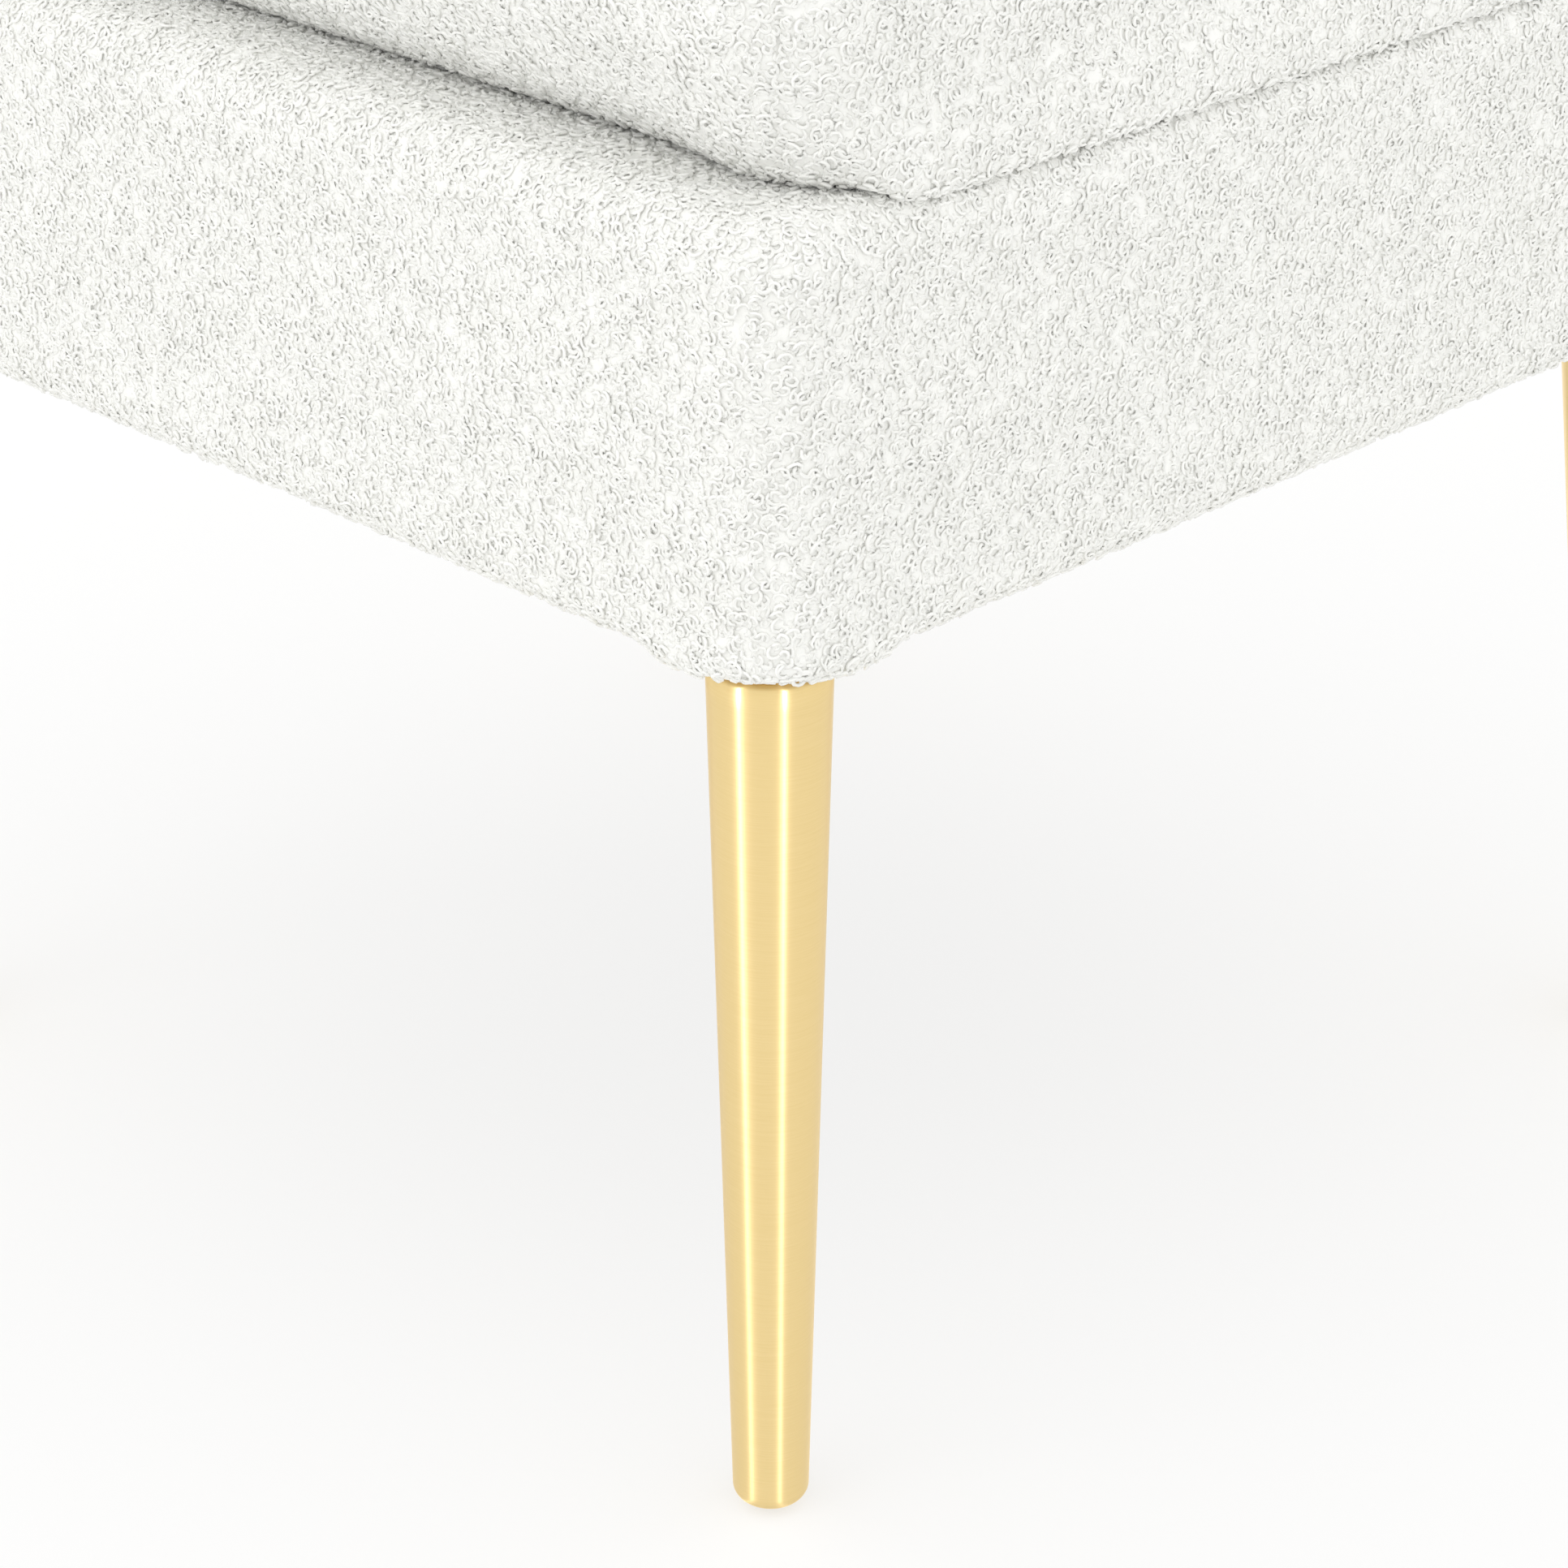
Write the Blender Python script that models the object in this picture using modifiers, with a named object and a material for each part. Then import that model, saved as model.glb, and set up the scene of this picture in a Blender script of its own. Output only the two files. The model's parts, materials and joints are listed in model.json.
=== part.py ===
"""Ottoman with storage: an upholstered box on four splayed legs, with a padded lid hinged at the rear.

Metres, +Z up. The origin is on the floor under the middle of the box. -Y is the front, +Y the hinge side.
"""

import math

import bmesh
import bpy
from mathutils import Matrix, Vector

# Driving dimensions
SIDE = 0.400  # outside width and depth of the box
BASE_Z = 0.235  # underside of the upholstered box
RIM_Z = 0.351  # top of the box's padded rim
LID_LOW_Z = 0.3539  # underside of the lid's cover
LID_TOP_Z = 0.440  # top of the cushion's crown
GAP = 0.0003  # clearance between pieces that touch

# Layers of the box's wall, from the outside in
SKIN = 0.0025  # boucle cover
PAD = 0.010  # foam
PANEL = 0.018  # plywood wall and base
LINING = 0.001  # cloth in the compartment
THIN_CLOTH = 0.0008  # dust cover and the lid's lining
CLOTH_MARGIN = 0.0015  # a thin cloth stops this far inside the opening that it closes
BASE_SLACK = 0.0005  # room between the cover's underside and the base
RIM_SLACK = 0.001  # room between the cover's rim and the walls' top
EDGE = 0.0008  # broken edge of a plywood piece
BLOCK_EDGE = 0.0006
PAD_EDGE = 0.0015

# Shape of the box's cover
PLAN_RADIUS = 0.020
RIM_RADIUS = 0.014
BASE_RADIUS = 0.010
DROP = 0.0032  # how far the cover drops over the corner blocks
DROP_START = 0.149
DROP_FULL = 0.161
MOUTH_ROLL = 0.0085  # how far the cover's rim reaches past the walls into the opening
BASE_LIP = 0.167  # half width of the opening in the cover's underside
BASE_LIP_CHAMFER = 0.054

# Legs
LEG_AXIS = 0.1735  # distance of a leg's axis from the middle, along X and along Y
SPLAY = math.radians(4.5)
LEG_TOP_RADIUS = 0.0158
LEG_FOOT_RADIUS = 0.0099
LEG_TIP_RADIUS = 0.0042
LEG_TIP_HEIGHT = 0.0058
LEG_WALL = 0.0015
LEG_EDGE = 0.0005  # broken edge at a leg's top
LEG_FLOOR = 0.002  # thickness of the tube's closed foot
GLIDE = 0.0012
PLUG_DEPTH = 0.010
STUD_RADIUS = 0.004
STUD_REACH = 0.019
STUD_EDGE = 0.0008
PLUG_GAP = 0.0008  # room between the plug and the tube's inside
PLUG_TOP = -0.0005
INSERT_RADIUS = 0.006
INSERT_LENGTH = 0.015
BLOCK_LOW = 0.1615
BLOCK_HIGH = 0.1845
BLOCK = 0.0027
LEG_SIDES = 28
SMALL_SIDES = 16  # sides of the small round pieces

# Lid
LID_HALF_X = 0.194
LID_FRONT_Y = -0.191
LID_REAR_Y = 0.1905
LID_BULGE = 0.003
LID_CROWN = 0.006
LID_PLAN_RADIUS = 0.026
LID_TOP_RADIUS = 0.020
LID_BASE_RADIUS = 0.006
TUCK = 0.018  # how far the front face draws in at its foot, which leaves the finger gap
TUCK_HEIGHT = 0.040
TUCK_REACH = 0.100
LID_LIP = 0.165  # half width of the opening in the lid cover's underside
LID_LIP_FRONT = -0.150
LID_BOARD_HALF_X = 0.1885
LID_BOARD_FRONT_Y = -0.160  # behind the tuck
LID_BOARD_REAR_Y = 0.185
LID_BOARD_CORNER = 0.018
FOAM_BASE_RADIUS = 0.004
LID_LEVELS = (0.012, 0.022, 0.034, 0.046)  # heights of extra loops of vertices above the lid's underside
LID_COLUMNS = (-0.14, -0.07, 0.0, 0.07, 0.14)
LID_ROWS = (-0.15, -0.12, -0.07, 0.0, 0.07, 0.14)
BUMPER_X = 0.178
BUMPER_Y = 0.130
BUMPER_TOP_RADIUS = 0.0042
BUMPER_RADIUS = 0.005
BUMPER_EDGE = 0.001
BOARD = 0.012
FOAM_GAP = 0.0010

# Hinges
AXIS_Y = 0.1965
HINGE_X = 0.110
HINGE_LENGTH = 0.050
LEAF = 0.001
LEAF_INNER_Y = 0.170
LEAF_CORNER = 0.004
KNUCKLES = 5
TAB_END = 0.0018  # the tab's end, inside the knuckle's wall
TAB_STEP = 0.0001  # the tab's faces lie this far inside the leaf's and the knuckle's
KNUCKLE_RADIUS = 0.0026
PIN_RADIUS = 0.0012
PIN_HEAD_RADIUS = 0.0019
PIN_HEAD = 0.0008
BORE_RADIUS = 0.0015
SCREW_Y = 0.178
SCREW_RADIUS = 0.0015
SCREW_HEAD_RADIUS = 0.0026
SCREW_HEAD = 0.0008  # depth of the countersunk head
SCREW_LAND = 0.0001
SCREW_POINT = 0.002
SCREW_LENGTH = 0.012
SCREW_SIDES = 10
BASE_SCREW_SPREAD = 0.018
LID_SCREW_SPREAD = 0.008

# Derived places
HALF = SIDE / 2
PAD_OUTER = HALF - SKIN - GAP
PANEL_OUTER = PAD_OUTER - PAD - GAP
PANEL_INNER = PANEL_OUTER - PANEL
LINING_OUTER = PANEL_INNER - GAP
BOARD_LOW_Z = BASE_Z + SKIN + BASE_SLACK
BOARD_HIGH_Z = BOARD_LOW_Z + PANEL
WALL_HIGH_Z = RIM_Z - SKIN - RIM_SLACK
LEG_TOP_Z = BASE_Z - DROP - GAP
LEG_LENGTH = LEG_TOP_Z - GLIDE - GAP
BASE_LEAF_Z = RIM_Z + GAP
LID_LEAF_Z = BASE_LEAF_Z + LEAF + GAP
AXIS_Z = LID_LEAF_Z - GAP / 2
LID_BOARD_Z = LID_LOW_Z + SKIN + GAP
FOAM_Z = LID_BOARD_Z + BOARD + GAP
THROUGH = 0.03  # how far a cutter runs past the cloth that it opens
LID_THROUGH = 0.01
CORNERS = {
    "front_left": (-1, -1),
    "front_right": (1, -1),
    "rear_right": (1, 1),
    "rear_left": (-1, 1),
}


def clear_scene():
    for obj in list(bpy.data.objects):
        bpy.data.objects.remove(obj, do_unlink=True)


def make_collection(name):
    collection = bpy.data.collections.new(name)
    bpy.context.scene.collection.children.link(collection)
    return collection


def material(name, colour, roughness, metallic=0.0):
    found = bpy.data.materials.get(name)
    if found:
        return found
    made = bpy.data.materials.new(name)
    made.use_nodes = True
    shader = made.node_tree.nodes["Principled BSDF"]
    shader.inputs["Base Color"].default_value = (*colour, 1.0)
    shader.inputs["Roughness"].default_value = roughness
    shader.inputs["Metallic"].default_value = metallic
    return made


def boucle():
    return material("boucle", (0.87, 0.87, 0.84), 0.95)


def plywood():
    return material("plywood", (0.62, 0.46, 0.29), 0.7)


def foam():
    return material("foam", (0.88, 0.82, 0.60), 0.9)


def lining_cloth():
    return material("lining_cloth", (0.78, 0.77, 0.73), 0.9)


def dust_cloth():
    return material("dust_cloth", (0.12, 0.12, 0.13), 0.9)


def gold_metal():
    return material("gold_metal", (0.83, 0.66, 0.37), 0.22, 1.0)


def zinc_steel():
    return material("zinc_steel", (0.62, 0.62, 0.60), 0.35, 1.0)


def nylon():
    return material("nylon", (0.55, 0.55, 0.54), 0.5)


def empty(name, location, angle=0.0, parent=None):
    obj = bpy.data.objects.new(name, None)
    obj.location = location
    obj.rotation_euler = (0.0, 0.0, angle)
    obj.parent = parent
    PARTS.objects.link(obj)
    return obj


def piece(name, mesh, finish, parent, location=(0.0, 0.0, 0.0)):
    """An object for a mesh, placed in its parent's frame."""
    obj = bpy.data.objects.new(name, mesh)
    if not mesh.materials:
        mesh.materials.append(finish)
    obj.parent = parent
    obj.location = location
    PARTS.objects.link(obj)
    return obj


def cutter(name, mesh, parent=None, location=(0.0, 0.0, 0.0)):
    obj = bpy.data.objects.new(name, mesh)
    obj.parent = parent
    obj.location = location
    obj.hide_render = True
    obj.display_type = "WIRE"
    CUTTERS.objects.link(obj)
    return obj


def combine(obj, other, operation):
    step = obj.modifiers.new(f"{operation.lower()}_{other.name}", "BOOLEAN")
    step.operation = operation
    step.solver = "EXACT"
    step.object = other


def finish_mesh(bm, name, smooth=False):
    bmesh.ops.recalc_face_normals(bm, faces=bm.faces)
    mesh = bpy.data.meshes.new(name)
    bm.to_mesh(mesh)
    bm.free()
    if smooth:
        mesh.shade_smooth()
        mesh.set_sharp_from_angle(angle=math.radians(35))
    return mesh


def cuboid(low, high):
    bm = bmesh.new()
    bmesh.ops.create_cube(bm, size=1.0)
    low = Vector(low)
    high = Vector(high)
    for vert in bm.verts:
        for axis in range(3):
            vert.co[axis] = high[axis] if vert.co[axis] > 0 else low[axis]
    return bm


def upright_edges(bm):
    return [e for e in bm.edges if abs(e.verts[0].co.z - e.verts[1].co.z) > 1e-5]


def level_edges(bm, z):
    return [e for e in bm.edges if all(abs(v.co.z - z) < 1e-6 for v in e.verts)]


def round_edges(bm, edges, radius, segments):
    bmesh.ops.bevel(bm, geom=edges, offset=radius, segments=segments, profile=0.5, affect="EDGES")


def box_mesh(name, low, high, edge=0.0):
    bm = cuboid(low, high)
    if edge:
        round_edges(bm, list(bm.edges), edge, 2)
    return finish_mesh(bm, name)


def prism_mesh(name, low, high, corner, segments=1):
    """A box whose four upright corners are cut off (one segment) or rounded."""
    bm = cuboid(low, high)
    round_edges(bm, upright_edges(bm), corner, segments)
    return finish_mesh(bm, name)


def pillow(low, high, plan, top, base):
    """A box with rounded upright corners, then a rounded top edge and a rounded bottom edge."""
    bm = cuboid(low, high)
    round_edges(bm, upright_edges(bm), plan, 5)
    round_edges(bm, level_edges(bm, high[2]), top, 4)
    round_edges(bm, level_edges(bm, low[2]), base, 3)
    return bm


def slice_mesh(bm, axis, places):
    """Adds loops of vertices where flat planes across an axis cross the mesh."""
    normal = Vector((0.0, 0.0, 0.0))
    normal[axis] = 1.0
    for place in places:
        everything = bm.verts[:] + bm.edges[:] + bm.faces[:]
        bmesh.ops.bisect_plane(bm, geom=everything, plane_co=normal * place, plane_no=normal, dist=1e-6)


def smoothstep(value):
    t = min(max(value, 0.0), 1.0)
    return t * t * (3.0 - 2.0 * t)


def turned_mesh(name, profile, steps):
    """The solid that a profile of (radius, z) points sweeps about Z, top to bottom on its outer side."""
    source = bpy.data.meshes.new(name + "_profile")
    points = [(radius, 0.0, z) for radius, z in profile]
    source.from_pydata(points, [(i, i + 1) for i in range(len(points) - 1)], [])
    holder = bpy.data.objects.new(name + "_profile", source)
    PARTS.objects.link(holder)
    sweep = holder.modifiers.new("turn", "SCREW")
    sweep.steps = steps
    sweep.render_steps = steps
    sweep.use_merge_vertices = True
    sweep.merge_threshold = 0.00005
    graph = bpy.context.evaluated_depsgraph_get()
    mesh = bpy.data.meshes.new_from_object(holder.evaluated_get(graph))
    mesh.name = name
    bpy.data.objects.remove(holder, do_unlink=True)
    bpy.data.meshes.remove(source)
    mesh.shade_smooth()
    mesh.set_sharp_from_angle(angle=math.radians(35))
    return mesh


def cylinder_mesh(name, radius, low, high, steps=SMALL_SIDES):
    return turned_mesh(name, [(0.0, high), (radius, high), (radius, low), (0.0, low)], steps)


def copies_mesh(name, mesh, places):
    """One mesh that holds a copy of another at each place."""
    bm = bmesh.new()
    for place in places:
        start = len(bm.verts)
        bm.from_mesh(mesh)
        bm.verts.ensure_lookup_table()
        bmesh.ops.translate(bm, vec=place, verts=bm.verts[start:])
    made = bpy.data.meshes.new(name)
    bm.to_mesh(made)
    bm.free()
    return made


# The box

def drop_corners(bm):
    """Lets the lower part of the cover down over the corner blocks."""
    steps = [DROP_START + (DROP_FULL - DROP_START) * i / 3 for i in range(4)]
    for axis in (0, 1):
        slice_mesh(bm, axis, [sign * step for step in steps for sign in (-1, 1)])
    middle = (BASE_Z + RIM_Z) / 2
    for vert in bm.verts:
        if vert.co.z < middle:
            across = smoothstep((abs(vert.co.x) - DROP_START) / (DROP_FULL - DROP_START))
            along = smoothstep((abs(vert.co.y) - DROP_START) / (DROP_FULL - DROP_START))
            vert.co.z -= DROP * across * along


def box_form(name, inset):
    low = (-HALF + inset, -HALF + inset, BASE_Z + inset)
    high = (HALF - inset, HALF - inset, RIM_Z - inset)
    bm = pillow(low, high, PLAN_RADIUS - inset, RIM_RADIUS - inset, BASE_RADIUS - inset)
    drop_corners(bm)
    return finish_mesh(bm, name, smooth=True)


def make_body_cover(root):
    cover = piece("body_cover", box_form("body_cover", 0.0), boucle(), root)
    mouth = PANEL_INNER + GAP - MOUTH_ROLL
    combine(cover, cutter("cover_hollow", box_form("cover_hollow", SKIN)), "DIFFERENCE")
    mouth_mesh = box_mesh("cover_mouth", (-mouth, -mouth, RIM_Z - THROUGH), (mouth, mouth, RIM_Z + THROUGH))
    combine(cover, cutter("cover_mouth", mouth_mesh), "DIFFERENCE")
    low = (-BASE_LIP, -BASE_LIP, BASE_Z - THROUGH)
    high = (BASE_LIP, BASE_LIP, BASE_Z + THROUGH)
    under_mesh = prism_mesh("cover_underside", low, high, BASE_LIP_CHAMFER)
    combine(cover, cutter("cover_underside", under_mesh), "DIFFERENCE")
    return cover


def make_walls(root):
    low_z = BOARD_HIGH_Z + GAP
    long_half = PANEL_OUTER
    short_half = PANEL_INNER - GAP
    walls = {}
    for name, side in (("front_panel", -1), ("rear_panel", 1)):
        ys = sorted((side * PANEL_OUTER, side * PANEL_INNER))
        mesh = box_mesh(name, (-long_half, ys[0], low_z), (long_half, ys[1], WALL_HIGH_Z), EDGE)
        walls[name] = piece(name, mesh, plywood(), root)
    for name, side in (("left_panel", -1), ("right_panel", 1)):
        xs = sorted((side * PANEL_OUTER, side * PANEL_INNER))
        mesh = box_mesh(name, (xs[0], -short_half, low_z), (xs[1], short_half, WALL_HIGH_Z), EDGE)
        walls[name] = piece(name, mesh, plywood(), root)
    return walls


def make_pads(root):
    low_z = BASE_Z + BASE_RADIUS
    high_z = RIM_Z - RIM_RADIUS
    reach = HALF - PLAN_RADIUS - PAD_EDGE
    for name, axis, side in (
        ("front_pad", 1, -1),
        ("rear_pad", 1, 1),
        ("left_pad", 0, -1),
        ("right_pad", 0, 1),
    ):
        depth = sorted((side * PAD_OUTER, side * (PAD_OUTER - PAD)))
        low = [-reach, -reach, low_z]
        high = [reach, reach, high_z]
        low[axis] = depth[0]
        high[axis] = depth[1]
        piece(name, box_mesh(name, low, high, PAD_EDGE), foam(), root)


def make_base(root):
    low = (-PANEL_OUTER, -PANEL_OUTER, BOARD_LOW_Z)
    high = (PANEL_OUTER, PANEL_OUTER, BOARD_HIGH_Z)
    board = piece("bottom_board", box_mesh("bottom_board", low, high, EDGE), plywood(), root)
    inner = BASE_LIP - CLOTH_MARGIN
    high_z = BOARD_LOW_Z - GAP
    low = (-inner, -inner, high_z - THIN_CLOTH)
    mesh = prism_mesh("dust_cover", low, (inner, inner, high_z), BASE_LIP_CHAMFER)
    piece("dust_cover", mesh, dust_cloth(), root)
    return board


def make_storage_lining(root):
    """An open tray of cloth on the compartment's floor and walls."""
    bm = cuboid((-LINING_OUTER, -LINING_OUTER, BOARD_HIGH_Z + GAP), (LINING_OUTER, LINING_OUTER, WALL_HIGH_Z))
    top = [f for f in bm.faces if all(abs(v.co.z - WALL_HIGH_Z) < 1e-6 for v in f.verts)]
    bmesh.ops.delete(bm, geom=top, context="FACES_ONLY")
    tray = piece("storage_lining", finish_mesh(bm, "storage_lining"), lining_cloth(), root)
    thicken = tray.modifiers.new("cloth", "SOLIDIFY")
    thicken.thickness = LINING
    thicken.offset = -1.0
    thicken.use_even_offset = True


def make_rim_bumpers(root):
    low = RIM_Z + GAP
    high = LID_LOW_Z - GAP
    wall = [(BUMPER_TOP_RADIUS, high), (BUMPER_RADIUS, low + BUMPER_EDGE), (BUMPER_RADIUS, low)]
    dot = turned_mesh("bumper_dot", [(0.0, high), *wall, (0.0, low)], SMALL_SIDES)
    for name, (sx, sy) in CORNERS.items():
        piece("rim_bumper_" + name, dot, nylon(), root, (sx * BUMPER_X, sy * BUMPER_Y, 0.0))


# The legs

def tip_arc(count):
    """Points of the foot's rounded edge, from the straight side down to the flat tip, (radius, height)."""
    points = []
    for i in range(count + 1):
        turn = math.radians(90.0) * i / count
        radius = LEG_TIP_RADIUS + (LEG_FOOT_RADIUS - LEG_TIP_RADIUS) * math.cos(turn)
        points.append((radius, LEG_TIP_HEIGHT * (1.0 - math.sin(turn))))
    return points


def lean(mesh):
    """Shears what lies below the leg's top out along +X, so that its rings stay level."""
    for vert in mesh.vertices:
        vert.co.x -= min(vert.co.z, 0.0) * math.tan(SPLAY)
    return mesh


def leg_meshes():
    """A tapered tube's outside and its hollow: closed at the foot, open at the top, leaning out along +X."""
    slope = (LEG_TOP_RADIUS - LEG_FOOT_RADIUS) / (LEG_LENGTH - LEG_TIP_HEIGHT)
    inner_low = LEG_TIP_HEIGHT + LEG_FLOOR
    inner_foot = LEG_FOOT_RADIUS - LEG_WALL + slope * LEG_FLOOR
    profile = [(0.0, 0.0), (LEG_TOP_RADIUS - LEG_EDGE, 0.0), (LEG_TOP_RADIUS, -LEG_EDGE)]
    profile += [(radius, height - LEG_LENGTH) for radius, height in tip_arc(4)]
    profile.append((0.0, -LEG_LENGTH))
    mouth = LEG_TOP_RADIUS - LEG_WALL
    floor = inner_low - LEG_LENGTH
    cup = [(0.0, PLUG_DEPTH), (mouth, PLUG_DEPTH), (mouth, 0.0), (inner_foot, floor), (0.0, floor)]
    return lean(turned_mesh("leg", profile, LEG_SIDES)), lean(turned_mesh("leg_hollow", cup, LEG_SIDES))


def make_corner(root, name, signs, cover, board, shapes):
    """A leg with its stud, threaded insert, glide and packing block."""
    sx, sy = signs
    turn = math.atan2(sy, sx)
    mount = empty("corner_" + name, (sx * LEG_AXIS, sy * LEG_AXIS, LEG_TOP_Z), turn, root)
    leg = piece("leg_" + name, shapes["leg"], gold_metal(), mount)
    combine(leg, cutter("hollow_" + name, shapes["hollow"], mount), "DIFFERENCE")
    piece("leg_stud_" + name, shapes["stud"], zinc_steel(), mount)
    insert = piece("leg_insert_" + name, shapes["insert"], zinc_steel(), mount)
    thread = cutter("thread_" + name, shapes["thread"], mount)
    combine(insert, thread, "DIFFERENCE")
    foot = math.tan(SPLAY) * LEG_LENGTH
    piece("leg_glide_" + name, shapes["glide"], nylon(), mount, (foot, 0.0, -LEG_TOP_Z))
    low_x, low_y = (min(sign * BLOCK_LOW, sign * BLOCK_HIGH) for sign in signs)
    low = (low_x, low_y, BOARD_LOW_Z - GAP - BLOCK)
    high = (low[0] + BLOCK_HIGH - BLOCK_LOW, low[1] + BLOCK_HIGH - BLOCK_LOW, BOARD_LOW_Z - GAP)
    block = piece("corner_block_" + name, box_mesh("corner_block", low, high, BLOCK_EDGE), plywood(), root)
    combine(block, thread, "DIFFERENCE")
    combine(cover, thread, "DIFFERENCE")
    combine(board, cutter("insert_bore_" + name, shapes["bore"], mount), "DIFFERENCE")


def make_legs(root, cover, board):
    outside, inside = leg_meshes()
    insert_low = BOARD_LOW_Z - LEG_TOP_Z
    plug_radius = LEG_TOP_RADIUS - LEG_WALL - PLUG_GAP
    stud_profile = [
        (0.0, STUD_REACH),
        (STUD_RADIUS - STUD_EDGE, STUD_REACH),
        (STUD_RADIUS, STUD_REACH - STUD_EDGE),
        (STUD_RADIUS, PLUG_TOP),
        (plug_radius, PLUG_TOP),
        (plug_radius, -PLUG_DEPTH),
        (0.0, -PLUG_DEPTH),
    ]
    glide_profile = [(0.0, GLIDE), (LEG_TIP_RADIUS, GLIDE), (LEG_TIP_RADIUS, 0.0), (0.0, 0.0)]
    shapes = {
        "leg": outside,
        "hollow": inside,
        "stud": lean(turned_mesh("leg_stud", stud_profile, SMALL_SIDES)),
        "insert": cylinder_mesh("leg_insert", INSERT_RADIUS, insert_low, insert_low + INSERT_LENGTH),
        "thread": cylinder_mesh("thread", STUD_RADIUS + GAP, -0.002, insert_low + INSERT_LENGTH + 0.002),
        "bore": cylinder_mesh("insert_bore", INSERT_RADIUS + GAP, -0.002, insert_low + INSERT_LENGTH + 0.001),
        "glide": turned_mesh("leg_glide", glide_profile, SMALL_SIDES),
    }
    for name, signs in CORNERS.items():
        make_corner(root, name, signs, cover, board, shapes)


# The lid

def lid_shape(point):
    """Moves a point of a plain box to its place in the crowned cushion with its tucked front."""
    x, y, z = point
    height = LID_TOP_Z - LID_CROWN - LID_LOW_Z
    level = (z - LID_LOW_Z) / height
    bulge = LID_BULGE * (1.0 - (2.0 * level - 1.0) ** 2)
    crown = LID_CROWN * (1.0 - (x / LID_HALF_X) ** 2) * (1.0 - (y / LID_HALF_X) ** 2)
    near_foot = min(max((LID_LOW_Z + TUCK_HEIGHT - z) / TUCK_HEIGHT, 0.0), 1.0)
    tuck = TUCK * near_foot ** 2 * smoothstep((-y - (-LID_FRONT_Y - TUCK_REACH)) / TUCK_REACH)
    return Vector(
        (
            x + bulge * x / LID_HALF_X,
            y + bulge * y / LID_HALF_X + tuck,
            z + crown * smoothstep(level),
        )
    )


def lid_form(name, inset, low_z, base):
    low = (-LID_HALF_X + inset, LID_FRONT_Y + inset, low_z)
    high = (LID_HALF_X - inset, LID_REAR_Y - inset, LID_TOP_Z - LID_CROWN - inset)
    bm = pillow(low, high, LID_PLAN_RADIUS - inset, LID_TOP_RADIUS - inset, base)
    slice_mesh(bm, 2, [LID_LOW_Z + z for z in LID_LEVELS])
    slice_mesh(bm, 0, LID_COLUMNS)
    slice_mesh(bm, 1, LID_ROWS)
    for vert in bm.verts:
        vert.co = lid_shape(vert.co)
    return finish_mesh(bm, name, smooth=True)


def make_lid_cover(pivot):
    outer = lid_form("lid_cover", 0.0, LID_LOW_Z, LID_BASE_RADIUS)
    cover = lid_piece("lid_cover", outer, boucle(), pivot)
    hollow = lid_form("lid_hollow", SKIN, LID_LOW_Z + SKIN, LID_BASE_RADIUS - SKIN)
    combine(cover, cutter("lid_hollow", hollow), "DIFFERENCE")
    low = (-LID_LIP, LID_LIP_FRONT, LID_LOW_Z - LID_THROUGH)
    high = (LID_LIP, LID_LIP, LID_LOW_Z + LID_THROUGH)
    combine(cover, cutter("lid_underside", box_mesh("lid_underside", low, high)), "DIFFERENCE")
    return cover


def lid_piece(name, mesh, finish, pivot):
    """A piece whose mesh is in the world's frame, with its origin moved to the hinge's axis."""
    mesh.transform(Matrix.Translation(-Vector(pivot.location)))
    return piece(name, mesh, finish, pivot)


def make_lid_filling(pivot):
    low = (-LID_BOARD_HALF_X, LID_BOARD_FRONT_Y, LID_BOARD_Z)
    high = (LID_BOARD_HALF_X, LID_BOARD_REAR_Y, LID_BOARD_Z + BOARD)
    panel = prism_mesh("lid_board", low, high, LID_BOARD_CORNER, 4)
    board = lid_piece("lid_board", panel, plywood(), pivot)
    filling = lid_form("lid_foam", SKIN + FOAM_GAP, FOAM_Z, FOAM_BASE_RADIUS)
    lid_piece("lid_foam", filling, foam(), pivot)
    high_z = LID_BOARD_Z - GAP
    low = (-LID_LIP + CLOTH_MARGIN, LID_LIP_FRONT + CLOTH_MARGIN, high_z - THIN_CLOTH)
    high = (LID_LIP - CLOTH_MARGIN, LID_LIP - CLOTH_MARGIN, high_z)
    cloth = box_mesh("lid_lining", low, high)
    lid_piece("lid_lining", cloth, lining_cloth(), pivot)
    return board


# The hinges

def knuckle_span(index):
    pitch = HINGE_LENGTH / KNUCKLES
    start = -HINGE_LENGTH / 2 + pitch * index
    return start + GAP / 2, start + pitch - GAP / 2


def leaf_mesh(name, low_z, first):
    """A leaf in the hinge's own frame, its axis along X: a plate, and tabs to every second knuckle."""
    edge = KNUCKLE_RADIUS + GAP
    low_z -= AXIS_Z
    inner = LEAF_INNER_Y - AXIS_Y
    bm = cuboid((-HINGE_LENGTH / 2, inner, low_z), (HINGE_LENGTH / 2, -edge, low_z + LEAF))
    ends = [e for e in upright_edges(bm) if e.verts[0].co.y < inner + 1e-5]
    round_edges(bm, ends, LEAF_CORNER, 3)
    plate = finish_mesh(bm, name)
    tabs = []
    for index in range(first, KNUCKLES, 2):
        start, end = knuckle_span(index)
        low = (start + TAB_STEP, -edge - 0.001, low_z + TAB_STEP)
        tab = box_mesh("tab", low, (end - TAB_STEP, -TAB_END, low_z + LEAF - TAB_STEP))
        barrel = cylinder_mesh("knuckle", KNUCKLE_RADIUS, start, end)
        barrel.transform(Matrix.Rotation(math.radians(90.0), 4, "Y"))
        tabs += [tab, barrel]
    return plate, tabs


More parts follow.
